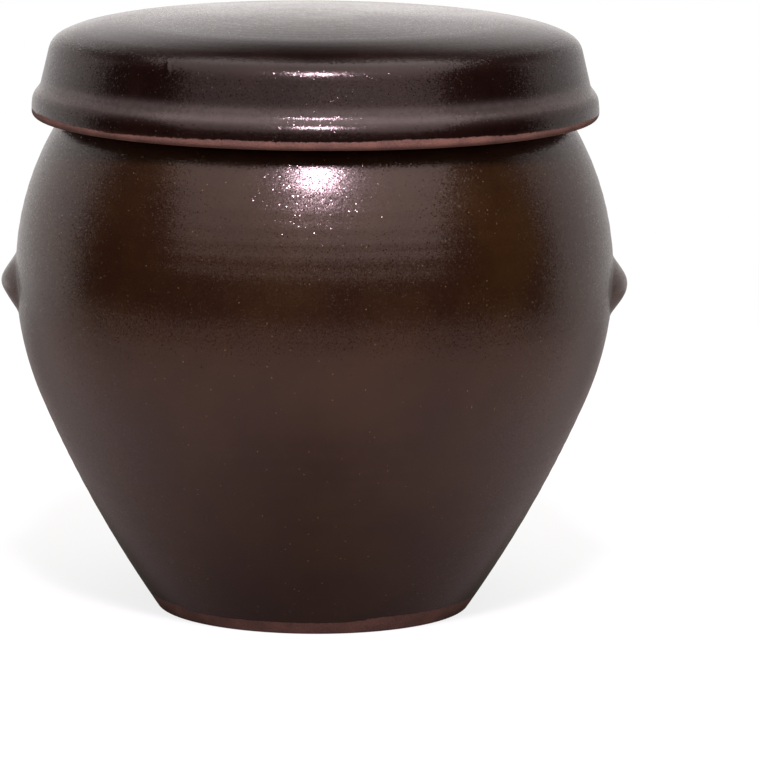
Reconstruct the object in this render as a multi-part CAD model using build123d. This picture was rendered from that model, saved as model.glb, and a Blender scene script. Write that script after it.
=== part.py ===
from build123d import *
from math import acos, asin, atan2, degrees, radians, sin
import os

# Onggi jar: a thrown, round-bellied pot with a lug on each side and a loose cap-shaped lid.
# Millimetres, +Z up, origin on the table under the middle of the foot, +X through the right lug.

# Belly, shoulder and flank, thrown as one wall
belly_radius = 60.0
belly_height = 68.0
shoulder_arc_radius = 58.0
under_belly_arc_radius = 64.0
flank_arc_radius = 249.0
wall = 5.0

# Foot: a flat ring round a shallow turned dish, and the floor above it
foot_radius = 31.3
foot_ring_width = 6.5
foot_dish_depth = 1.2
foot_edge_round = 0.8
floor_thickness = 6.0
floor_corner_round = 7.0

# Neck and rolled rim, hidden under the lid
shoulder_width = 13.5
neck_height = 7.8
neck_wall = 4.5
neck_foot_round = 2.0
mouth_root_round = 2.5
rim_roll_width = 2.0
rim_roll_height = 4.8
rim_under_round = 1.2
rim_outer_round = 1.7
rim_inner_round = 1.4

# Lid: it hangs over the neck, and its ceiling rests on the rim's flat top
lid_gap_over_shoulder = 1.4
skirt_clearance_at_rim = 0.9
skirt_clearance_at_lip = 3.3
skirt_wall = 3.9
lip_width = 5.2
lip_height = 6.5
lip_proud = 1.95
lip_face_height = 3.1
lip_face_lean = 0.3
lip_shoulder_round = 4.0
lip_crease_round = 3.0
lip_outer_round = 1.2
lip_inner_round = 0.9
crown_edge_round = 3.95
crown_shoulder_radius = 20.0
crown_shoulder_angle = 27.0
crown_slope_radius = 60.0
crown_slope_angle = 13.0
crown_dome_angle = 3.5
ceiling_thickness = 4.7
ceiling_corner_round = 0.8
seat_land_overlap = 1.0

# Lugs: a pinched roll of clay pressed on to each side, a little below the belly line
lug_length = 25.0
lug_height = 13.8
lug_protrusion = 3.0
lug_drop = 2.3
lug_end_droop = 1.6
lug_end_sink = 0.8
lug_root_depth = 2.5
lug_foot_depth = 0.7
lug_end_height_share = 0.5
lug_station_shares = (-1.0, -0.8, -0.45, 0.0, 0.45, 0.8, 1.0)
lug_swell_shares = (0.0, 0.5, 0.88, 1.0, 0.88, 0.5, 0.0)
lug_profile_shares = ((0.0, -0.5), (0.68, -0.08), (1.6, 0.025), (0.96, 0.09), (0.0, 0.5))

# Worked out from the sizes above
dish_radius = foot_radius - foot_ring_width
neck_radius = belly_radius - shoulder_width
mouth_radius = neck_radius - neck_wall
rim_radius = neck_radius + rim_roll_width
lip_inner_radius = rim_radius + skirt_clearance_at_lip
lip_outer_radius = lip_inner_radius + lip_width
ceiling_radius = rim_radius + skirt_clearance_at_rim
skirt_top_radius = ceiling_radius + skirt_wall
seat_land_radius = mouth_radius - seat_land_overlap

# The flank's long arc leaves the arc under the belly smoothly and ends at the foot's edge. The two arc
# centres and that edge make a triangle, whose corner at the upper centre says where the arcs join.
under_belly_centre = Vector(belly_radius - under_belly_arc_radius, belly_height)
foot_reach = Vector(foot_radius, 0) - under_belly_centre
centre_gap = flank_arc_radius - under_belly_arc_radius
excess = centre_gap**2 + foot_reach.length**2 - flank_arc_radius**2
corner_turn = degrees(acos(excess / centre_gap / foot_reach.length / 2))
foot_bearing = degrees(atan2(foot_reach.Y, foot_reach.X))
under_belly_angle = corner_turn - foot_bearing - 180
flank_centre_height = belly_height + centre_gap * sin(radians(under_belly_angle))


def shoulder_turn(inset, radius):
    """Degrees that the shoulder's arc, pushed in by inset, turns until it has come in to a radius."""
    return degrees(acos((radius - belly_radius + shoulder_arc_radius) / (shoulder_arc_radius - inset)))


def shoulder_height(inset, radius):
    """Height at which the shoulder's arc, pushed in by inset, has come in to a radius."""
    return belly_height + (shoulder_arc_radius - inset) * sin(radians(shoulder_turn(inset, radius)))


neck_foot = Vector(neck_radius, shoulder_height(0, neck_radius))
rim_height = neck_foot.Y + neck_height
lid_bottom = shoulder_height(0, lip_inner_radius) + lid_gap_over_shoulder


def draw_shoulder(inset, radius):
    """Draws the wall from the belly up to where it has come in to a radius."""
    belly_point = Vector(belly_radius - inset, belly_height)
    return JernArc(belly_point, (0, 1), shoulder_arc_radius - inset, shoulder_turn(inset, radius))


def draw_flank(inset, height):
    """Draws the wall from the belly down to a height, and gives its lower arc."""
    belly_point = Vector(belly_radius - inset, belly_height)
    upper = JernArc(belly_point, (0, -1), under_belly_arc_radius - inset, -under_belly_angle)
    drop = degrees(asin((flank_centre_height - height) / (flank_arc_radius - inset)))
    return JernArc(upper @ 1, upper % 1, flank_arc_radius - inset, under_belly_angle - drop)


def round_corner(profile, point, radius):
    """Rounds the corner of a profile that lies nearest to a point."""
    fillet(profile.vertices().sort_by_distance(point)[0], radius)


def make_jar_body():
    """The thrown pot in one piece: foot, flank, belly, shoulder, neck and rolled rim."""
    roll_bottom = Vector(neck_radius, rim_height - rim_roll_height)
    roll_outer = roll_bottom + Vector(rim_roll_width, rim_roll_width)
    mouth_root = Vector(mouth_radius, shoulder_height(wall, mouth_radius))
    with BuildPart() as jar:
        with BuildSketch(Plane.XZ) as profile:
            with BuildLine():
                outside = draw_flank(0, 0)
                draw_shoulder(0, neck_radius)
                Polyline(
                    neck_foot,
                    roll_bottom,
                    roll_outer,
                    (rim_radius, rim_height),
                    (mouth_radius, rim_height),
                    mouth_root,
                )
                draw_shoulder(wall, mouth_radius)
                inside = draw_flank(wall, floor_thickness)
                Polyline(
                    inside @ 1,
                    (0, floor_thickness),
                    (0, foot_dish_depth),
                    (dish_radius - foot_dish_depth, foot_dish_depth),
                    (dish_radius, 0),
                    outside @ 1,
                )
            make_face()
            round_corner(profile, outside @ 1, foot_edge_round)
            round_corner(profile, neck_foot, neck_foot_round)
            round_corner(profile, roll_bottom, rim_under_round)
            round_corner(profile, roll_outer, rim_under_round)
            round_corner(profile, (rim_radius, rim_height), rim_outer_round)
            round_corner(profile, (mouth_radius, rim_height), rim_inner_round)
            round_corner(profile, mouth_root, mouth_root_round)
            round_corner(profile, inside @ 1, floor_corner_round)
        revolve(axis=Axis.Z)
    return jar.part


def make_belly_core():
    """The pot's outer form as a plain solid, which shapes the back of each lug."""
    with BuildPart() as core:
        with BuildSketch(Plane.XZ):
            with BuildLine():
                outside = draw_flank(0, 0)
                draw_shoulder(0, neck_radius)
                Polyline(neck_foot, (0, neck_foot.Y), (0, 0), outside @ 1)
            make_face()
        revolve(axis=Axis.Z)
    return core.part


def make_lug_section(station, swell):
    """One upright slice of a lug, at its share of the way from the middle to an end."""
    turn = degrees(station * lug_length / belly_radius / 2)
    reach = swell * (lug_protrusion + lug_foot_depth + lug_end_sink) - lug_end_sink
    height = lug_height * (lug_end_height_share + (1 - lug_end_height_share) * swell)
    middle = Vector(belly_radius - lug_foot_depth, belly_height - lug_drop - lug_end_droop * station**2)
    points = [middle + Vector(reach * out, height * up) for out, up in lug_profile_shares]
    root = Vector(lug_root_depth - lug_foot_depth, 0)
    with BuildSketch(Plane.XZ.rotated((0, 0, turn))) as section:
        with BuildLine():
            Bezier(*points)
            Polyline(points[-1], points[-1] - root, points[0] - root, points[0])
        make_face()
    return section.sketch


def make_lug():
    """The right lug: it swells in the middle, droops at both ends and sits flush on the wall."""
    stations = zip(lug_station_shares, lug_swell_shares)
    roll = loft([make_lug_section(station, swell) for station, swell in stations])
    return roll - make_belly_core()


def make_lid():
    """The cap-shaped lid: low crown, flaring skirt, thick lip, and a flat seat under its ceiling."""
    side_top = Vector(skirt_top_radius, rim_height)
    crease = Vector(lip_outer_radius - lip_proud, lid_bottom + lip_height)
    lip_shoulder = Vector(lip_outer_radius - lip_face_lean, lid_bottom + lip_face_height)
    side = (side_top - crease).normalized()
    edge_turn = degrees(asin(side.Y)) - crown_shoulder_angle
    with BuildPart() as lid:
        with BuildSketch(Plane.XZ) as profile:
            with BuildLine():
                edge = JernArc(side_top, side, crown_edge_round, edge_turn)
                shoulder = JernArc(
                    edge @ 1,
                    edge % 1,
                    crown_shoulder_radius,
                    crown_shoulder_angle - crown_slope_angle,
                )
                slope = JernArc(
                    shoulder @ 1,
                    shoulder % 1,
                    crown_slope_radius,
                    crown_slope_angle - crown_dome_angle,
                )
                dome_arc_radius = (slope @ 1).X / sin(radians(crown_dome_angle))
                dome = JernArc(slope @ 1, slope % 1, dome_arc_radius, crown_dome_angle)
                ceiling = Vector(0, (dome @ 1).Y - ceiling_thickness)
                Line(dome @ 1, ceiling)
                TangentArc(ceiling, (seat_land_radius, rim_height), tangent=(1, 0))
                Polyline(
                    (seat_land_radius, rim_height),
                    (ceiling_radius, rim_height),
                    (lip_inner_radius, lid_bottom),
                    (lip_outer_radius, lid_bottom),
                    lip_shoulder,
                    crease,
                    side_top,
                )
            make_face()
            round_corner(profile, (ceiling_radius, rim_height), ceiling_corner_round)
            round_corner(profile, (lip_inner_radius, lid_bottom), lip_inner_round)
            round_corner(profile, (lip_outer_radius, lid_bottom), lip_outer_round)
            round_corner(profile, lip_shoulder, lip_shoulder_round)
            round_corner(profile, crease, lip_crease_round)
        revolve(axis=Axis.Z)
    return lid.part


right_lug = make_lug()
nodes = {
    "jar_body": make_jar_body(),
    "left_lug": right_lug.rotate(Axis.Z, 180),
    "right_lug": right_lug,
    "lid": make_lid(),
}

os.makedirs("parts", exist_ok=True)
for name, solid in nodes.items():
    export_step(solid, f"parts/{name}.step")
    box = solid.bounding_box()
    print(f"{name}: {box.size.X:.2f} x {box.size.Y:.2f} x {box.size.Z:.2f} mm, top at {box.max.Z:.2f}")
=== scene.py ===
import math

import bpy
import numpy as np
from mathutils import Matrix, Vector


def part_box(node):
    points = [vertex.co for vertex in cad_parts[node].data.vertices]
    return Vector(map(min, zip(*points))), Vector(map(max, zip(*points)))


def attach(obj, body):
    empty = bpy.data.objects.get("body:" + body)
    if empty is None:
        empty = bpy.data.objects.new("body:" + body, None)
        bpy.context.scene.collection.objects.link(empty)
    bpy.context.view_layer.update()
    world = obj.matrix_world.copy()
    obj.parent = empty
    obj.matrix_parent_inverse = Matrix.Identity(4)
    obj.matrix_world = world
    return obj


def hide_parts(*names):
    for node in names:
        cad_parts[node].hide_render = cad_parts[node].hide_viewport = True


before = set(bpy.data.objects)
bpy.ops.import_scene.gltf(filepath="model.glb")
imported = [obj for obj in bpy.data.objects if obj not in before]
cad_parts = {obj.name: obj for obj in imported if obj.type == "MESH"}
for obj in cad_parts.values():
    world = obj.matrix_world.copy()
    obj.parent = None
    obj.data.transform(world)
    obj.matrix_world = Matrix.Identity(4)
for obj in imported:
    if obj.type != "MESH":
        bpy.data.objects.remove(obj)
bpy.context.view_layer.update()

# Jar body: a round-bellied pot thrown on the wheel from red-brown earthenware. It is dipped in dark
# ash glaze, and the foot ring and the rim's flat top are wiped bare before it is fired.
_, jar_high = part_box("jar_body")
belly_radius = jar_high.x
rim_height = jar_high.z
belly_height = 0.068
shoulder_bend = 0.058
under_belly_bend = 0.064
flank_bend = 0.249
wall = 0.005
foot_radius = 0.0313
foot_ring_width = 0.0065
foot_dish_depth = 0.0012
foot_edge_round = 0.0008
floor_thickness = 0.006
floor_corner_round = 0.007
neck_radius = belly_radius - 0.0135
mouth_radius = neck_radius - 0.0045
rim_radius = neck_radius + 0.002
rim_roll_height = 0.0048
soft_round = 0.0012
rim_outer_round = 0.0017
neck_foot_round = 0.002
mouth_root_round = 0.0025
outline_step = 0.0009
turn_steps = 300


def sweep(centre, radius, start, end):
    """Points of an arc in the profile, from one angle to another, in degrees above level."""
    count = max(4, math.ceil(abs(math.radians(end - start)) * radius / outline_step))
    angles = np.radians(np.linspace(start, end, count + 1))
    return np.stack([centre[0] + radius * np.cos(angles), centre[1] + radius * np.sin(angles)], 1)


def outline_lengths(line):
    """How far along the outline each of its points lies."""
    return np.concatenate([[0], np.cumsum(np.linalg.norm(np.diff(line, axis=0), axis=1))])


def shortened(line, length):
    """An outline piece with that length taken off its end."""
    along = outline_lengths(line)
    stop = along[-1] - length
    end = [np.interp(stop, along, line[:, 0]), np.interp(stop, along, line[:, 1])]
    return np.vstack([line[along < stop - 1e-9], [end]])


def rounded(before, after, radius):
    """Rounds the corner of two outline pieces; gives the first with its arc, and the second."""
    heading = before[-1] - before[-2]
    leaving = after[1] - after[0]
    cosine = heading @ leaving / np.linalg.norm(heading) / np.linalg.norm(leaving)
    half_turn = math.acos(max(-1.0, min(1.0, cosine))) / 2
    corner = before[-1]
    before = shortened(before, radius * math.tan(half_turn))
    after = shortened(after[::-1], radius * math.tan(half_turn))[::-1]
    t = np.linspace(0, 1, 9)[1:-1, None]
    pull = 2 * t * (1 - t) * math.cos(half_turn)
    blend = (1 - t) ** 2 * before[-1] + pull * corner + t**2 * after[0]
    blend = blend / ((1 - t) ** 2 + pull + t**2)
    return np.vstack([before, blend]), after


def joined(*pieces):
    """Joins outline pieces end to end. A number between two pieces rounds their corner."""
    line = np.array(pieces[0], float)
    radius = 0.0
    for piece in pieces[1:]:
        if isinstance(piece, float):
            radius = piece
            continue
        after = np.array(piece, float)
        if radius:
            line, after = rounded(line, after, radius)
            line = np.vstack([line, after])
        else:
            line = np.vstack([line, after[1:]])
        radius = 0.0
    return line


def filled(line, step):
    """The outline with points added, so that no two of them lie further apart than step."""
    points = [line[:1]]
    for start, end in zip(line[:-1], line[1:]):
        count = max(1, math.ceil(np.linalg.norm(end - start) / step))
        points.append(start + (end - start) * (np.arange(1, count + 1) / count)[:, None])
    return np.vstack(points)


def nearest_length(line, radius, height):
    """How far along the outline its point nearest to a radius and height lies."""
    index = np.argmin(np.linalg.norm(line - [radius, height], axis=1))
    return outline_lengths(line)[index]


def outward(line):
    """The outline's normals, to the right of its direction, which is out of the clay."""
    direction = np.gradient(line, axis=0)
    direction /= np.linalg.norm(direction, axis=1)[:, None]
    return np.stack([direction[:, 1], -direction[:, 0]], 1)


def smooth(low, high, value):
    """0 below low, 1 above high, and a soft step between."""
    share = np.clip((value - low) / (high - low), 0, 1)
    return share * share * (3 - 2 * share)


def passed(distance, edge=0.0003):
    """0 before a line in the glaze and 1 past it, with the soft edge of a wet sponge."""
    return smooth(-edge, edge, distance)


def hand_waver(angles, size, waves, seed):
    """A wavering line round the pot, as a hand leaves it: sine waves that close on themselves."""
    draw = np.random.default_rng(seed)
    line = sum(
        draw.normal() / wave**0.5 * np.sin(wave * angles + draw.uniform(0, 2 * math.pi))
        for wave in waves
    )
    return size * line / np.abs(line).max()


def spread_along(line, amount, reach, strength=1.0):
    """An amount at each point of the outline, spread softly along it, from 0 to 1."""
    along = outline_lengths(line)
    kernel = np.exp(-((along[:, None] - along[None]) ** 2) / (2 * reach**2))
    return np.clip(strength * kernel @ amount / kernel.sum(1), 0, 1)[:, None]


def glaze_run_off(line):
    """Two masks: where glaze runs thin, on sharp edges, and where it pools, in sharp hollows."""
    direction = np.unwrap(np.arctan2(*np.gradient(line, axis=0).T[::-1]))
    bend = np.gradient(direction, outline_lengths(line))
    # Bends are in radians to a metre, so one of 500 is a round of 2 mm.
    soft_edge, sharp_edge = 230, 700
    soft_hollow, sharp_hollow = 200, 400
    edges = smooth(soft_edge, sharp_edge, bend)
    hollows = smooth(soft_hollow, sharp_hollow, -bend)
    thin = spread_along(line, edges, reach=0.0004)
    pooled = spread_along(line, hollows, reach=0.0009, strength=2.1)
    return thin, pooled


def make_skin(name, points, faces, **masks):
    """A smooth mesh with its glaze masks, one value to a point. A mask left out is 0."""
    mesh = bpy.data.meshes.new(name)
    mesh.from_pydata(points.tolist(), [], faces)
    mesh.shade_smooth()
    for mask_name, mask in masks.items():
        values = mesh.attributes.new(mask_name, "FLOAT", "POINT").data
        values.foreach_set("value", mask.astype(np.float32))
    piece = bpy.data.objects.new(name, mesh)
    bpy.context.scene.collection.objects.link(piece)
    return piece


def spin(name, line, angles, relief, bare):
    """Spins a profile into a closed skin, pushed in or out by relief, with its glaze masks."""
    turn_count = len(angles)
    moved = line[:, None] + outward(line)[:, None] * relief[:, :, None]
    out, rise = moved[..., 0], moved[..., 1]
    rings = np.stack([out * np.cos(angles), out * np.sin(angles), rise], -1)
    poles = [[0, 0, line[0, 1]], [0, 0, line[-1, 1]]]
    points = np.vstack([rings[1:-1].reshape(-1, 3), poles])
    here = np.arange(turn_count)
    after = (here + 1) % turn_count
    last = (len(line) - 3) * turn_count
    faces = []
    for low in range(0, last, turn_count):
        high = low + turn_count
        faces += np.stack([low + here, low + after, high + after, high + here], 1).tolist()
    pole = np.full(turn_count, last + turn_count)
    faces += np.stack([pole, after, here], 1).tolist()
    faces += np.stack([pole + 1, last + here, last + after], 1).tolist()
    thin, pooled = glaze_run_off(line)
    masks = {}
    for mask_name, mask in (("bare", bare), ("thin", thin), ("pooled", pooled)):
        mask = np.broadcast_to(mask, relief.shape)
        masks[mask_name] = np.concatenate([mask[1:-1].ravel(), [mask[0, 0], mask[-1, 0]]])
    return make_skin(name, points, faces, **masks)


dish_radius = foot_radius - foot_ring_width
shoulder_centre = (belly_radius - shoulder_bend, belly_height)
under_centre = (belly_radius - under_belly_bend, belly_height)
foot_reach = math.hypot(foot_radius - under_centre[0], belly_height)
centre_gap = flank_bend - under_belly_bend
corner_cosine = (centre_gap**2 + foot_reach**2 - flank_bend**2) / (2 * centre_gap * foot_reach)
foot_bearing = math.degrees(math.atan2(belly_height, foot_radius - under_centre[0]))
under_angle = math.degrees(math.acos(corner_cosine)) + foot_bearing - 180
flank_centre = (
    under_centre[0] - centre_gap * math.cos(math.radians(under_angle)),
    under_centre[1] + centre_gap * math.sin(math.radians(under_angle)),
)


def wall_line(inset, bottom, top_radius):
    """The pot's wall, from a height near its foot to where its shoulder comes in to a radius."""
    flank_start = -math.degrees(math.asin((flank_centre[1] - bottom) / (flank_bend - inset)))
    shoulder_reach = (top_radius - shoulder_centre[0]) / (shoulder_bend - inset)
    shoulder_end = math.degrees(math.acos(shoulder_reach))
    return joined(
        sweep(flank_centre, flank_bend - inset, flank_start, -under_angle),
        sweep(under_centre, under_belly_bend - inset, -under_angle, 0),
        sweep(shoulder_centre, shoulder_bend - inset, 0, shoulder_end),
    )


outer_wall = wall_line(0, 0, neck_radius)
inner_wall = wall_line(wall, floor_thickness, mouth_radius)[::-1]
roll_bottom = (neck_radius, rim_height - rim_roll_height)
roll_outer = (rim_radius, roll_bottom[1] + rim_radius - neck_radius)
jar_line = joined(
    [(0, foot_dish_depth), (dish_radius - foot_dish_depth, foot_dish_depth)],
    foot_edge_round,
    [(dish_radius - foot_dish_depth, foot_dish_depth), (dish_radius, 0)],
    foot_edge_round,
    [(dish_radius, 0), (foot_radius, 0)],
    foot_edge_round,
    outer_wall,
    neck_foot_round,
    [outer_wall[-1], roll_bottom],
    soft_round,
    [roll_bottom, roll_outer],
    soft_round,
    [roll_outer, (rim_radius, rim_height)],
    rim_outer_round,
    [(rim_radius, rim_height), (mouth_radius, rim_height)],
    soft_round,
    [(mouth_radius, rim_height), inner_wall[0]],
    mouth_root_round,
    inner_wall,
    floor_corner_round,
    [inner_wall[-1], (0, floor_thickness)],
)
jar_line = filled(jar_line, outline_step)

# The fingers leave a spiral of low ridges inside, and the rib smooths it to almost nothing outside.
# The rib's marks drift and fade unevenly, and the whole pot wavers a little out of round. The glaze
# ends in a wavering line above the foot and on each side of the rim's flat top.
finger_pitch = 0.0068
finger_depth = 0.00022
rib_pitch = 0.0043
rib_depth = 0.000025
rib_slow_drift = 0.0107
rib_quick_drift = 0.0041
rib_fade = 0.0083
out_of_round = 0.00012
out_of_round_drift = 0.031
glaze_thickness = 0.00012
foot_glaze_height = 0.0034
foot_glaze_waver = 0.0009
rim_glaze_waver = 0.0004
jar_along = outline_lengths(jar_line)[:, None]
jar_angles = np.linspace(0, 2 * math.pi, turn_steps, endpoint=False)
jar_turns = jar_angles / (2 * math.pi)
mouth_length = nearest_length(jar_line, mouth_radius, rim_height - soft_round)
shoulder_length = nearest_length(jar_line, *outer_wall[-1])
inside = smooth(mouth_length + 0.004, mouth_length + 0.016, jar_along)
outside = smooth(foot_radius + 0.001, foot_radius + 0.012, jar_along)
outside = outside * (1 - smooth(shoulder_length - 0.006, shoulder_length, jar_along))
near_axis = smooth(0, 0.006, jar_line[:, :1])
fingers = np.sin(2 * math.pi * (jar_along / finger_pitch + jar_turns))
uneven = 0.5 * np.sin(jar_along / rib_slow_drift) + 0.4 * np.sin(jar_along / rib_quick_drift + 2)
ribbing = np.sin(2 * math.pi * (jar_along / rib_pitch + jar_turns + uneven))
ribbing = ribbing * (0.6 + 0.4 * np.sin(jar_along / rib_fade))
waver = hand_waver(jar_angles, 1, (2, 3, 5), 4) * np.sin(jar_along / out_of_round_drift)
waver = waver + hand_waver(jar_angles, 1, (2, 4), 9)
jar_relief = inside * near_axis * fingers * finger_depth
jar_relief = jar_relief + outside * (ribbing * rib_depth + waver * out_of_round / 2)
foot_line = nearest_length(jar_line, *outer_wall[0]) + foot_glaze_height
foot_line = foot_line + hand_waver(jar_angles, foot_glaze_waver, (2, 3, 5, 8, 13, 21), 21)
rim_start = nearest_length(jar_line, rim_radius - rim_outer_round, rim_height)
rim_end = nearest_length(jar_line, mouth_radius + soft_round, rim_height)
rim_waver = hand_waver(jar_angles, rim_glaze_waver, (2, 3, 7, 12, 19), 33)
jar_bare = 1 - passed(jar_along - foot_line)
jar_bare = jar_bare + passed(jar_along - rim_start - rim_waver)
jar_bare = jar_bare * (1 - passed(jar_along - rim_end + rim_waver))
jar_relief = jar_relief - (jar_bare * outside) * glaze_thickness
jar_pot = spin("jar_pot", jar_line, jar_angles, jar_relief, jar_bare)


class Nodes:
    """Adds and links the nodes of one material or node group."""

    def __init__(self, tree):
        self.tree = tree

    def add(self, kind, settings=None, **inputs):
        node = self.tree.nodes.new(kind)
        for key, value in (settings or {}).items():
            setattr(node, key, value)
        for key, value in inputs.items():
            self.set(node, key.replace("_", " "), value)
        return node

    def set(self, node, key, value):
        socket = node.inputs[int(key)] if key.isdigit() else node.inputs[key]
        if isinstance(value, bpy.types.NodeSocket):
            self.tree.links.new(value, socket)
        else:
            socket.default_value = value

    def math(self, operation, first, second=0.0):
        node = self.add("ShaderNodeMath", {"operation": operation})
        self.set(node, "0", first)
        self.set(node, "1", second)
        return node.outputs[0]

    def vector(self, operation, first, second=None, scale=None):
        node = self.add("ShaderNodeVectorMath", {"operation": operation})
        self.set(node, "0", first)
        if second is not None:
            self.set(node, "1", second)
        if scale is not None:
            self.set(node, "Scale", scale)
        return node.outputs["Value"] if operation in ("LENGTH", "DOT_PRODUCT") else node.outputs[0]

    def ramp(self, value, low, high, bottom=0.0, top=1.0, soft=True):
        node = self.add(
            "ShaderNodeMapRange",
            {"interpolation_type": "SMOOTHSTEP" if soft else "LINEAR"},
            Value=value,
            From_Min=low,
            From_Max=high,
            To_Min=bottom,
            To_Max=top,
        )
        return node.outputs["Result"]

    def mix(self, share, first, second):
        node = self.add("ShaderNodeMix", {"data_type": "RGBA"})
        self.set(node, "0", share)
        self.set(node, "6", first)
        self.set(node, "7", second)
        return node.outputs[2]

    def noise(self, place, scale, detail, roughness, w=None):
        node = self.add(
            "ShaderNodeTexNoise",
            {"noise_dimensions": "3D" if w is None else "4D"},
            Vector=place,
            Scale=scale,
            Detail=detail,
            Roughness=roughness,
        )
        if w is not None:
            self.set(node, "W", w)
        return node.outputs[0]

    def split(self, vector):
        return self.add("ShaderNodeSeparateXYZ", **{"0": vector}).outputs

    def mix_shaders(self, share, first, second):
        node = self.add("ShaderNodeMixShader", **{"0": share, "1": first, "2": second})
        return node.outputs[0]

    def bump(self, height, distance, normal=None):
        node = self.add("ShaderNodeBump", Strength=1.0, Distance=distance, Height=height)
        if normal is not None:
            self.set(node, "Normal", normal)
        return node.outputs[0]


def new_group(name, inputs, outputs):
    """A shader node group with named sockets; gives its nodes, its inputs and its output node."""
    tree = bpy.data.node_groups.new(name, "ShaderNodeTree")
    for socket, kind, value in inputs:
        made = tree.interface.new_socket(name=socket, in_out="INPUT", socket_type=kind)
        if value is not None:
            made.default_value = value
    for socket, kind in outputs:
        tree.interface.new_socket(name=socket, in_out="OUTPUT", socket_type=kind)
    nodes = Nodes(tree)
    return nodes, nodes.add("NodeGroupInput").outputs, nodes.add("NodeGroupOutput")


def place_group(nodes, name, **inputs):
    """Places a node group in a material and gives its outputs."""
    node = nodes.add("ShaderNodeGroup", {"node_tree": bpy.data.node_groups[name]}, **inputs)
    return node.outputs


# Turning marks: faint lines that run round the pot, left by the rib and brush as the wheel turns.
nodes, given, result = new_group(
    "turning_marks",
    [("Place", "NodeSocketVector", None), ("Lines per metre", "NodeSocketFloat", 700.0)],
    [("Height", "NodeSocketFloat")],
)
change_in_a_turn = 1.6
place = nodes.split(given["Place"])
level = nodes.add("ShaderNodeCombineXYZ", X=place["X"], Y=place["Y"]).outputs[0]
out = nodes.vector("LENGTH", level)
round_way = nodes.vector("SCALE", nodes.vector("NORMALIZE", level), scale=change_in_a_turn)
round_way = nodes.split(round_way)
across = nodes.add(
    "ShaderNodeCombineXYZ",
    X=round_way["X"],
    Y=round_way["Y"],
    Z=nodes.math("MULTIPLY", out, given["Lines per metre"]),
)
rise = nodes.math("MULTIPLY", place["Z"], given["Lines per metre"])
lines = nodes.noise(across.outputs[0], scale=1.0, detail=3.0, roughness=0.6, w=rise)
nodes.set(result, "Height", lines)

# Glaze grain: the orange-peel skin of an ash glaze, the tiny crystal facets that glint in it,
# slow drifts between darker and browner patches, and golden flecks of ash.
nodes, given, result = new_group(
    "glaze_grain",
    [
        ("Place", "NodeSocketVector", None),
        ("Facet size", "NodeSocketFloat", 0.0002),
        ("Fleck size", "NodeSocketFloat", 0.0009),
        ("Facet lean", "NodeSocketFloat", 0.045),
    ],
    [
        ("Height", "NodeSocketFloat"),
        ("Tilt", "NodeSocketVector"),
        ("Crystal", "NodeSocketFloat"),
        ("Drift", "NodeSocketFloat"),
        ("Fleck", "NodeSocketFloat"),
    ],
)
facets = nodes.add(
    "ShaderNodeTexVoronoi",
    Vector=given["Place"],
    Scale=nodes.math("DIVIDE", 1.0, given["Facet size"]),
)
lean = nodes.vector("SUBTRACT", facets.outputs["Color"], (0.5, 0.5, 0.5))
pick = nodes.add("ShaderNodeTexWhiteNoise", Vector=facets.outputs["Position"]).outputs["Value"]
nodes.set(result, "Crystal", pick)
# Most facets lean a little, and a few lean a lot.
steepest_lean = 0.38
steep = nodes.math("POWER", pick, 6.0)
lean_share = nodes.ramp(steep, 0.0, 1.0, given["Facet lean"], steepest_lean, soft=False)
nodes.set(result, "Tilt", nodes.vector("SCALE", lean, scale=lean_share))
drift = nodes.noise(given["Place"], scale=55.0, detail=4.0, roughness=0.6)
nodes.set(result, "Drift", drift)
flecks = nodes.add(
    "ShaderNodeTexVoronoi",
    Vector=given["Place"],
    Scale=nodes.math("DIVIDE", 1.0, given["Fleck size"]),
)
spread = nodes.add("ShaderNodeSeparateColor", **{"0": flecks.outputs["Color"]})
chosen = nodes.ramp(spread.outputs["Red"], 0.85, 0.98)
dot = nodes.ramp(flecks.outputs["Distance"], 0.06, 0.2, 1.0, 0.0)
nodes.set(result, "Fleck", nodes.math("MULTIPLY", chosen, dot))
pinhole = nodes.math("MULTIPLY", nodes.ramp(spread.outputs["Green"], 0.95, 0.97), dot)
peel = nodes.noise(given["Place"], scale=1300.0, detail=3.0, roughness=0.55)
nodes.set(result, "Height", nodes.math("SUBTRACT", peel, nodes.math("MULTIPLY", pinhole, 2.0)))

# Bare clay: the unglazed red-brown body, with grog and pores, in cloudy patches of lighter and
# darker clay.
nodes, given, result = new_group(
    "bare_clay",
    [
        ("Place", "NodeSocketVector", None),
        ("Clay", "NodeSocketColor", (0.15, 0.07, 0.052, 1)),
        ("Dark clay", "NodeSocketColor", (0.08, 0.04, 0.032, 1)),
    ],
    [("Color", "NodeSocketColor"), ("Height", "NodeSocketFloat")],
)
cloud = nodes.noise(given["Place"], scale=160.0, detail=4.0, roughness=0.6)
grog = nodes.noise(given["Place"], scale=2600.0, detail=2.0, roughness=0.6)
shade = nodes.math("ADD", nodes.math("MULTIPLY", cloud, 0.7), nodes.math("MULTIPLY", grog, 0.5))
tone = nodes.mix(nodes.ramp(shade, 0.42, 0.78), given["Dark clay"], given["Clay"])
nodes.set(result, "Color", tone)
nodes.set(result, "Height", grog)


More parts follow.
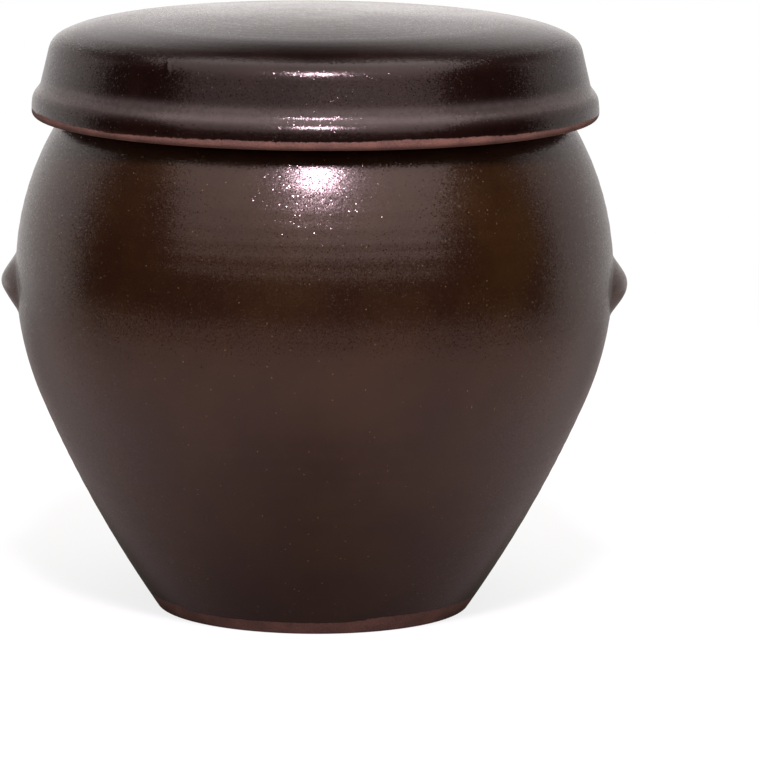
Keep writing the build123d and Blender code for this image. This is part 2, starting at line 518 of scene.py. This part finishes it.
def glazed_clay(
    name,
    thin_glaze,
    line_depth,
    dark=(0.013, 0.0047, 0.0018, 1),
    warm=(0.0195, 0.0084, 0.0022, 1),
    pooled_glaze=(0.044, 0.035, 0.031, 1),
    fleck=(0.12, 0.075, 0.035, 1),
    rough=0.21,
    crystal_rough=0.13,
    gloss=1.5,
    lines_per_metre=620.0,
    peel_depth=0.000014,
    facet_lean=0.05,
    clay_depth=0.00012,
):
    """Dark ash glaze over red-brown clay: bare where wiped, brown where thin, paler in hollows."""
    material = bpy.data.materials.new(name)
    material.use_nodes = True
    nodes = Nodes(material.node_tree)
    shader = material.node_tree.nodes["Principled BSDF"]
    coordinates = nodes.add("ShaderNodeTexCoord").outputs
    place = coordinates["Object"]
    bare, thin, pooled = (
        nodes.add("ShaderNodeAttribute", {"attribute_name": mask}).outputs["Fac"]
        for mask in ("bare", "thin", "pooled")
    )
    grain = place_group(nodes, "glaze_grain", Place=place, Facet_lean=facet_lean)
    marks = place_group(nodes, "turning_marks", Place=place, Lines_per_metre=lines_per_metre)
    clay = place_group(nodes, "bare_clay", Place=place)
    edge_break = nodes.noise(place, scale=900.0, detail=3.0, roughness=0.6)
    ragged = nodes.math("ADD", bare, nodes.math("MULTIPLY", edge_break, 0.6))
    bare = nodes.ramp(ragged, 0.62, 0.98)
    glaze = nodes.mix(nodes.ramp(grain["Drift"], 0.35, 0.7), dark, warm)
    thin = nodes.math("MULTIPLY", thin, nodes.ramp(edge_break, 0.3, 0.7, 0.35, 1.0))
    glaze = nodes.mix(thin, glaze, thin_glaze)
    pooled = nodes.math("MULTIPLY", pooled, nodes.ramp(edge_break, 0.25, 0.7, 0.75, 1.0))
    glaze = nodes.mix(pooled, glaze, pooled_glaze)
    glaze = nodes.mix(grain["Fleck"], glaze, fleck)
    nodes.set(shader, "Base Color", nodes.mix(bare, glaze, clay["Color"]))
    satin = nodes.ramp(grain["Drift"], 0.3, 0.75, rough, rough + 0.06, soft=False)
    satin = nodes.ramp(grain["Crystal"], 0.5, 1.0, satin, crystal_rough, soft=False)
    nodes.set(shader, "Roughness", nodes.ramp(bare, 0.0, 1.0, satin, 0.85, soft=False))
    shader.inputs["IOR"].default_value = gloss
    shader.inputs["Specular Tint"].default_value = (1.0, 0.8, 0.78, 1)
    # On a level top the glaze settles smoother in the kiln than on a steep side.
    upward = nodes.split(coordinates["Normal"])["Z"]
    tilt_left = nodes.ramp(upward, 0.86, 0.985, 1.0, 0.22)
    peel_left = nodes.ramp(upward, 0.95, 0.995, 1.0, 0.3)
    relief = nodes.bump(marks["Height"], line_depth)
    relief = nodes.bump(nodes.math("MULTIPLY", grain["Height"], peel_left), peel_depth, relief)
    tilt_left = nodes.math("MULTIPLY", nodes.math("SUBTRACT", 1.0, bare), tilt_left)
    tilt = nodes.vector("SCALE", grain["Tilt"], scale=tilt_left)
    relief = nodes.vector("NORMALIZE", nodes.vector("ADD", relief, tilt))
    relief = nodes.bump(nodes.math("MULTIPLY", clay["Height"], bare), clay_depth, relief)
    nodes.set(shader, "Normal", relief)
    return material


jar_glaze = glazed_clay("jar_glaze", thin_glaze=(0.06, 0.025, 0.014, 1), line_depth=0.00002)
jar_pot.data.materials.append(jar_glaze)
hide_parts("jar_body")
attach(jar_pot, "jar")

# Lugs: a small roll of clay pressed on to each side of the belly with wet fingers, pinched to a
# crest and smeared into the wall all round. They are glazed with the pot; the crest breaks brown.
_, lug_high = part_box("right_lug")
lug_length = 0.025
lug_height = 0.0138
lug_foot_depth = 0.0007
lug_protrusion = lug_high.x - belly_radius
lug_middle = belly_height - 0.0023
lug_end_droop = 0.0016
lug_margin = 0.0025
lug_back_depth = 0.0008
lug_tuck = 0.00006
lug_profile = ((0.0, -0.53), (0.82, -0.12), (1.6, 0.02), (0.96, 0.09), (0.0, 0.5))
lug_taper = 1.2
lug_smear = 3.0
lug_crest_level = 0.02
lug_crest_width = 0.07
lug_dent_share = 0.025
lug_dent_waves_along = (200, 700)
lug_dent_waves_up = (200, 600)
lug_columns = 150
lug_rows = 100


def blurred(field, width):
    """A field of heights smoothed along both its sides, as wet fingers smear clay."""
    reach = np.arange(-3 * width, 3 * width + 1)
    kernel = np.exp(-(reach**2) / (2 * width**2))
    kernel /= kernel.sum()
    for axis in (0, 1):
        field = np.apply_along_axis(lambda row: np.convolve(row, kernel, mode="same"), axis, field)
    return field


def pressed_lug(name, facing, seed):
    """One lug as a closed skin on the pot's wall, facing +X at 1 and -X at -1."""
    half_length = lug_length / 2 + lug_margin
    half_height = lug_height / 2 + lug_margin
    along = np.linspace(-half_length, half_length, lug_columns)[:, None]
    rise = np.linspace(-half_height, half_height, lug_rows)[None]
    station = np.clip(np.abs(along) / (lug_length / 2), 0, 1)
    swell = (1 - station**2) ** lug_taper
    t = np.linspace(0, 1, 200)[:, None]
    binomial = (1, 4, 6, 4, 1)
    curve = sum(
        count * (1 - t) ** (4 - order) * t**order * np.array(lug_profile[order])
        for order, count in enumerate(binomial)
    )
    height_share = 0.5 + 0.5 * swell
    level = (rise + lug_end_droop * station**2) / (lug_height * height_share)
    out_share = np.interp(level, curve[:, 1], curve[:, 0], 0, 0)
    reach = (lug_protrusion + lug_foot_depth) * swell * out_share
    reach = blurred(np.maximum(reach - lug_foot_depth, 0), lug_smear)
    crest = np.exp(-(((level - lug_crest_level) / lug_crest_width) ** 2)) * swell
    draw = np.random.default_rng(seed)
    dents = sum(
        draw.normal()
        * np.sin(along * draw.uniform(*lug_dent_waves_along) + draw.uniform(0, 6))
        * np.sin(rise * draw.uniform(*lug_dent_waves_up) + draw.uniform(0, 6))
        for _ in range(6)
    )
    reach = reach * (1 + lug_dent_share * dents)
    reach = reach * lug_protrusion / reach.max()
    height = lug_middle + rise + 0 * along
    wall_radius = np.interp(height, outer_wall[:, 1], outer_wall[:, 0])
    angle = along / belly_radius + (0 if facing > 0 else math.pi)
    skin_radius = wall_radius + reach - lug_tuck
    back_radius = wall_radius - lug_back_depth
    layers = [
        np.stack([radius * np.cos(angle), radius * np.sin(angle), height], -1).reshape(-1, 3)
        for radius in (skin_radius, back_radius)
    ]
    index = np.arange(lug_columns * lug_rows).reshape(lug_columns, lug_rows)
    quads = np.stack([index[:-1, :-1], index[1:, :-1], index[1:, 1:], index[:-1, 1:]], -1)
    quads = quads.reshape(-1, 4)
    rim = np.concatenate([index[:-1, 0], index[-1, :-1], index[:0:-1, -1], index[0, :0:-1]])
    ahead = np.roll(rim, -1)
    behind = lug_columns * lug_rows
    side = np.stack([rim, rim + behind, ahead + behind, ahead], 1)
    faces = quads.tolist() + (quads[:, ::-1] + behind).tolist() + side.tolist()
    thin = np.concatenate([crest.ravel(), np.zeros(behind)])
    return make_skin(name, np.vstack(layers), faces, thin=thin)


lug_glaze = glazed_clay("lug_glaze", thin_glaze=(0.045, 0.02, 0.012, 1), line_depth=0.00001)
for node, facing, seed in (("right_lug", 1, 5), ("left_lug", -1, 8)):
    lug = pressed_lug("pinched_" + node, facing, seed)
    lug.data.materials.append(lug_glaze)
    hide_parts(node)
    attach(lug, "jar")

# Lid: a low cap turned on the wheel, with a flaring side and a thicker lip that overhangs the
# shoulder; glaze pools in the crease above the lip. It lies loose on the rim by a flat land under
# its ceiling; that land and the lip's edge are bare clay.
lid_low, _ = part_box("lid")
lip_inner_radius = rim_radius + 0.0033
lip_radius = lip_inner_radius + 0.0052
lip_height = 0.0065
lip_proud = 0.00195
lip_face_height = 0.00456
lip_face_lean = 0.00044
lip_shoulder_round = 0.0033
lip_crease_round = 0.0024
lip_outer_round = 0.0012
lip_inner_round = 0.0009
ceiling_radius = rim_radius + 0.0009
skirt_top_radius = ceiling_radius + 0.0039
crown_edge_round = 0.00395
crown_shoulder_bend = 0.02
crown_shoulder_angle = 27.0
crown_slope_bend = 0.06
crown_slope_angle = 13.0
crown_dome_angle = 3.5
ceiling_thickness = 0.0047
ceiling_corner_round = 0.0008
seat_radius = mouth_radius - 0.001
lid_step = 0.0005
lid_bottom = lid_low.z
lip_under = lid_bottom + 0.00025

crease = np.array([lip_radius - lip_proud, lid_bottom + lip_height])
lip_shoulder = np.array([lip_radius - lip_face_lean, lid_bottom + lip_face_height])
side_head = np.array([skirt_top_radius, rim_height])
side = (side_head - crease) / np.linalg.norm(side_head - crease)
edge_centre = side_head + crown_edge_round * np.array([-side[1], side[0]])
edge_start = 90 - math.degrees(math.asin(side[1]))
shoulder_start = 90 - crown_shoulder_angle
slope_start = 90 - crown_slope_angle
dome_start = 90 - crown_dome_angle


def heading(angle):
    """A direction in the profile, from degrees above level."""
    return np.array([math.cos(math.radians(angle)), math.sin(math.radians(angle))])


shoulder_middle = edge_centre - (crown_shoulder_bend - crown_edge_round) * heading(shoulder_start)
slope_middle = shoulder_middle - (crown_slope_bend - crown_shoulder_bend) * heading(slope_start)
dome_bend = (slope_middle + crown_slope_bend * heading(dome_start))[0] / heading(dome_start)[0]
dome_middle = slope_middle + (crown_slope_bend - dome_bend) * heading(dome_start)
apex = dome_middle[1] + dome_bend
ceiling_top = apex - ceiling_thickness
ceiling_sag = ceiling_top - rim_height
ceiling_bend = (seat_radius**2 + ceiling_sag**2) / (2 * ceiling_sag)
ceiling_half = math.degrees(math.asin(seat_radius / ceiling_bend))
ceiling_line = sweep((0, ceiling_top - ceiling_bend), ceiling_bend, 90, 90 - ceiling_half)
lid_line = joined(
    ceiling_line,
    [ceiling_line[-1], (ceiling_radius, rim_height)],
    ceiling_corner_round,
    [(ceiling_radius, rim_height), (lip_inner_radius, lip_under)],
    lip_inner_round,
    [(lip_inner_radius, lip_under), (lip_radius, lip_under)],
    lip_outer_round,
    [(lip_radius, lip_under), lip_shoulder],
    lip_shoulder_round,
    [lip_shoulder, crease],
    lip_crease_round,
    [crease, side_head],
    sweep(edge_centre, crown_edge_round, edge_start, shoulder_start),
    sweep(shoulder_middle, crown_shoulder_bend, shoulder_start, slope_start),
    sweep(slope_middle, crown_slope_bend, slope_start, dome_start),
    sweep(dome_middle, dome_bend, dome_start, 90),
)
lid_line = filled(lid_line, lid_step)
lid_along = outline_lengths(lid_line)[:, None]

# A short run of glaze stands on the crown's edge, left of the front. The skin's points lie closer
# together there.
run_angle = math.radians(237.4)
run_half_angle = 0.02
run_drop = 0.0012
run_slant = 0.35
run_width = 0.0005
run_length = 0.0011
run_thickness = 0.00012
lid_angles = np.linspace(0, 2 * math.pi, turn_steps, endpoint=False)
beside_run = lid_angles[np.abs(lid_angles - run_angle) > run_half_angle + 0.001]
on_run = run_angle + np.linspace(-run_half_angle, run_half_angle, 18)
lid_angles = np.sort(np.concatenate([beside_run, on_run]))
lid_turns = lid_angles / (2 * math.pi)

# The seat and the lip's edge are wiped bare, the brush leaves faint rings on the crown, and the
# fingers leave low ridges under the ceiling.
seat_glaze_waver = 0.0006
lip_glaze_waver = 0.0004
lip_glaze_start = 0.0025
lip_glaze_height = 0.0019
lip_glaze_edge = 0.0008
crown_mark_pitch = 0.0031
crown_mark_depth = 0.000002
crown_waver_depth = 0.00003
crown_waver_drift = 0.014
lid_finger_pitch = 0.0058
lid_finger_depth = 0.00012
seat_start = nearest_length(lid_line, seat_radius, rim_height)
seat_end = nearest_length(lid_line, ceiling_radius - ceiling_corner_round, rim_height)
lip_start = nearest_length(lid_line, lip_inner_radius, lid_bottom + lip_glaze_start)
lip_end = nearest_length(lid_line, lip_radius, lid_bottom + lip_glaze_height)
top_start = nearest_length(lid_line, *side_head)
seat_waver = hand_waver(lid_angles, seat_glaze_waver, (2, 3, 5, 9, 14), 41)
lip_waver = hand_waver(lid_angles, lip_glaze_waver, (2, 3, 5, 8, 13, 21, 34), 57)
seat_bare = passed(lid_along - seat_start - seat_waver)
seat_bare = seat_bare * (1 - passed(lid_along - seat_end + seat_waver))
lip_bare = passed(lid_along - lip_start - 2 * lip_waver)
lip_bare = lip_bare * (1 - passed(lid_along - lip_end + lip_waver, lip_glaze_edge))
lid_bare = seat_bare + lip_bare
off_axis = smooth(0, 0.008, lid_line[:, :1])
crown_share = smooth(top_start, top_start + 0.006, lid_along) * off_axis
crown_marks = np.sin(2 * math.pi * (lid_along / crown_mark_pitch + lid_turns))
crown_waver = hand_waver(lid_angles, 1, (2, 3, 4), 12) * np.sin(lid_along / crown_waver_drift)
lid_relief = crown_share * (crown_marks * crown_mark_depth + crown_waver * crown_waver_depth)
underneath = off_axis * (1 - smooth(seat_start - 0.006, seat_start, lid_along))
lid_fingers = np.sin(2 * math.pi * (lid_along / lid_finger_pitch + lid_turns))
lid_relief = lid_relief + underneath * lid_finger_depth * lid_fingers
lid_relief = lid_relief - lip_bare * glaze_thickness
down_run = lid_along - top_start - run_drop
across_run = (lid_angles - run_angle) * skirt_top_radius + run_slant * down_run
glaze_run = np.exp(-((across_run / run_width) ** 2)) * np.exp(-((down_run / run_length) ** 2))
lid_relief = lid_relief + glaze_run * run_thickness
jar_lid = spin("jar_lid", lid_line, lid_angles, lid_relief, lid_bare)

lid_glaze = glazed_clay(
    "lid_glaze",
    thin_glaze=(0.05, 0.021, 0.013, 1),
    line_depth=0.00001,
    dark=(0.0042, 0.0015, 0.0011, 1),
    warm=(0.0075, 0.0028, 0.0018, 1),
    fleck=(0.05, 0.032, 0.021, 1),
    rough=0.18,
    gloss=1.41,
    lines_per_metre=900.0,
    peel_depth=0.000026,
    facet_lean=0.056,
)
jar_lid.data.materials.append(lid_glaze)
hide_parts("lid")
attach(jar_lid, "lid")

# Studio: a pale table that fades into a white ground, white walls behind the jar that its glaze
# mirrors at the edges, a broad diffuser overhead, and one small bright lamp high in front.
floor_radius = 0.7
floor_mesh = bpy.data.meshes.new("floor")
ring = np.linspace(0, 2 * math.pi, 96, endpoint=False)
floor_points = np.stack([np.cos(ring), np.sin(ring), 0 * ring], 1) * floor_radius
floor_mesh.from_pydata(floor_points.tolist(), [], [list(range(len(ring)))])
floor = bpy.data.objects.new("floor", floor_mesh)
bpy.context.scene.collection.objects.link(floor)
floor_paint = bpy.data.materials.new("floor_paint")
floor_paint.use_nodes = True
nodes = Nodes(floor_paint.node_tree)
paint = floor_paint.node_tree.nodes["Principled BSDF"]
paint.inputs["Roughness"].default_value = 0.9
white = nodes.add("ShaderNodeEmission")
seen = nodes.add("ShaderNodeLightPath").outputs["Is Camera Ray"]
place = nodes.add("ShaderNodeTexCoord").outputs["Object"]
# The camera sees the table pale. The glaze mirrors it as a dim warm grey, with a painted shadow of
# the jar that makes it darkest near the jar and behind it.
painted_shadow_grey = (0.166, 0.147, 0.132, 1)
dull = (0.386, 0.343, 0.307, 1)
pale = (0.9, 0.897, 0.892, 1)
spot = nodes.split(place)
# Painted shadow: the mirrored table is darker in a wedge that widens behind the jar.
painted_shadow_edge = nodes.math("ABSOLUTE", spot["X"])
painted_shadow_edge = nodes.math("SUBTRACT", painted_shadow_edge, nodes.math("MULTIPLY", spot["Y"], 0.9))
mirrored_with_painted_shadow = nodes.mix(nodes.ramp(painted_shadow_edge, 0.02, 0.13), painted_shadow_grey, dull)
nodes.set(paint, "Base Color", nodes.mix(seen, mirrored_with_painted_shadow, pale))
lift = nodes.math("MULTIPLY", seen, 0.8)
paled = nodes.mix_shaders(lift, paint.outputs[0], white.outputs[0])
fade_start, fade_end = 0.14, 0.48
far = nodes.ramp(nodes.vector("LENGTH", place), fade_start, fade_end)
away = nodes.add("ShaderNodeBsdfTransparent")
surface = floor_paint.node_tree.nodes["Material Output"]
nodes.set(surface, "Surface", nodes.mix_shaders(far, paled, away.outputs[0]))
floor_mesh.materials.append(floor_paint)

lamp_brightness = 142.0
lamp_place = Vector((0.015, -0.79, 0.93))
lamp_target = Vector((0, 0, 0.1))
light = bpy.data.lights.new("lamp", "AREA")
light.shape = "RECTANGLE"
light.size = 0.17
light.size_y = 0.24
light.energy = lamp_brightness * math.pi * light.size * light.size_y
light.color = (1.0, 0.86, 1.03)
lamp = bpy.data.objects.new("lamp", light)
bpy.context.scene.collection.objects.link(lamp)
lamp.location = lamp_place
lamp.rotation_mode = "QUATERNION"
lamp.rotation_quaternion = (lamp_target - lamp_place).to_track_quat("-Z", "Y")
lamp.visible_camera = False

# The world is drawn by direction, for the glaze to mirror: the walls, the horizon where the ground
# meets them, and the diffuser. The camera sees plain white.
world = bpy.data.worlds.new("studio")
bpy.context.scene.world = world
world.use_nodes = True
nodes = Nodes(world.node_tree)
direction = nodes.split(nodes.add("ShaderNodeTexCoord").outputs["Generated"])
level = nodes.add("ShaderNodeCombineXYZ", X=direction["X"], Y=direction["Y"])
level = nodes.split(nodes.vector("NORMALIZE", level.outputs[0]))
rise = direction["Z"]


def product(*factors):
    """Multiplies values in the world's nodes."""
    total = factors[0]
    for factor in factors[1:]:
        total = nodes.math("MULTIPLY", total, factor)
    return total


# Walls: they stand only behind the jar, end above it and dim below the table. They are dimmer
# straight behind the jar and on the right.
aside = nodes.math("ABSOLUTE", level["X"])
height = nodes.math("SUBTRACT", product(rise, nodes.ramp(aside, 0.02, 0.2, 1.32, 1.0)), 0.06)
walls = product(
    nodes.ramp(height, 0.18, 0.66, 1.0, 0.0),
    nodes.ramp(rise, -0.42, -0.1, 0.35, 1.0),
    nodes.ramp(level["Y"], 0.1, 0.38),
    nodes.ramp(aside, 0.01, 0.08, 0.52, 0.82),
    nodes.ramp(level["X"], 0.0, 0.25, 1.0, 0.82),
)

# Horizon: a narrow bright strip straight behind the jar, just above the table.
horizon = product(
    nodes.ramp(rise, 0.02, 0.22, 1.12, 0.0),
    nodes.ramp(rise, -0.08, 0.02),
    nodes.ramp(level["Y"], 0.94, 0.99),
    nodes.ramp(aside, 0.02, 0.08, 1.0, 0.4),
)

# Diffuser: a sheet with a soft edge, wider towards the front, that ends behind the jar, sooner in
# the middle. It is brighter overhead and on the right.
across = nodes.math("ADD", direction["X"], 0.02)
narrow = nodes.ramp(nodes.math("ABSOLUTE", direction["X"]), 0.0, 0.18, 0.25, 0.0)
half_width = nodes.ramp(direction["Y"], -1.0, 0.4, 0.95, 0.69, soft=False)
reach = nodes.math("DIVIDE", across, half_width)
behind = nodes.math("MAXIMUM", nodes.math("ADD", direction["Y"], 0.3), 0.0)
edge = nodes.math("ADD", product(behind, behind, 0.9), narrow)
edge = nodes.math("ADD", product(reach, reach), edge)
overhead = product(
    nodes.ramp(edge, 0.76, 0.92, 1.0, 0.0),
    nodes.ramp(rise, 0.0, 0.35),
    nodes.ramp(rise, 0.2, 1.0, 0.95, 1.72, soft=False),
    nodes.ramp(direction["X"], -0.3, 0.3, 1.0, 1.35),
)

dim_everywhere = 0.01
lit = nodes.math("MAXIMUM", nodes.math("ADD", walls, horizon), overhead)
lit = nodes.math("ADD", lit, dim_everywhere)
background = world.node_tree.nodes["Background"]
seen = nodes.add("ShaderNodeLightPath").outputs["Is Camera Ray"]
nodes.set(background, "Color", nodes.mix(seen, (1.0, 0.955, 0.94, 1), (1.0, 1.0, 1.0, 1)))
nodes.set(background, "Strength", nodes.math("MAXIMUM", lit, seen))

# Camera: a long lens, a little above the lid, with the jar left of the middle as photographed.
camera_distance = 1.2
camera_tilt = 8.9
lens_height = 0.24565
picture_pixels = 760
focal_pixels = 5960
aim = (0.0133, 0, 0.0458)
picture_roll = 0.0073
sensor_width = 36
camera_data = bpy.data.cameras.new("camera")
camera_data.sensor_width = sensor_width
camera_data.lens = focal_pixels / picture_pixels * sensor_width
camera = bpy.data.objects.new("camera", camera_data)
bpy.context.scene.collection.objects.link(camera)
bpy.context.scene.camera = camera
camera.location = (0, -camera_distance * math.cos(math.radians(camera_tilt)), lens_height)
gaze = (Vector(aim) - camera.location).to_track_quat("-Z", "Y").to_matrix().to_4x4()
camera.rotation_euler = (gaze @ Matrix.Rotation(picture_roll, 4, "Z")).to_euler()
camera_data.clip_start = 0.05
camera_data.clip_end = 20
bpy.context.scene.view_settings.view_transform = "Standard"
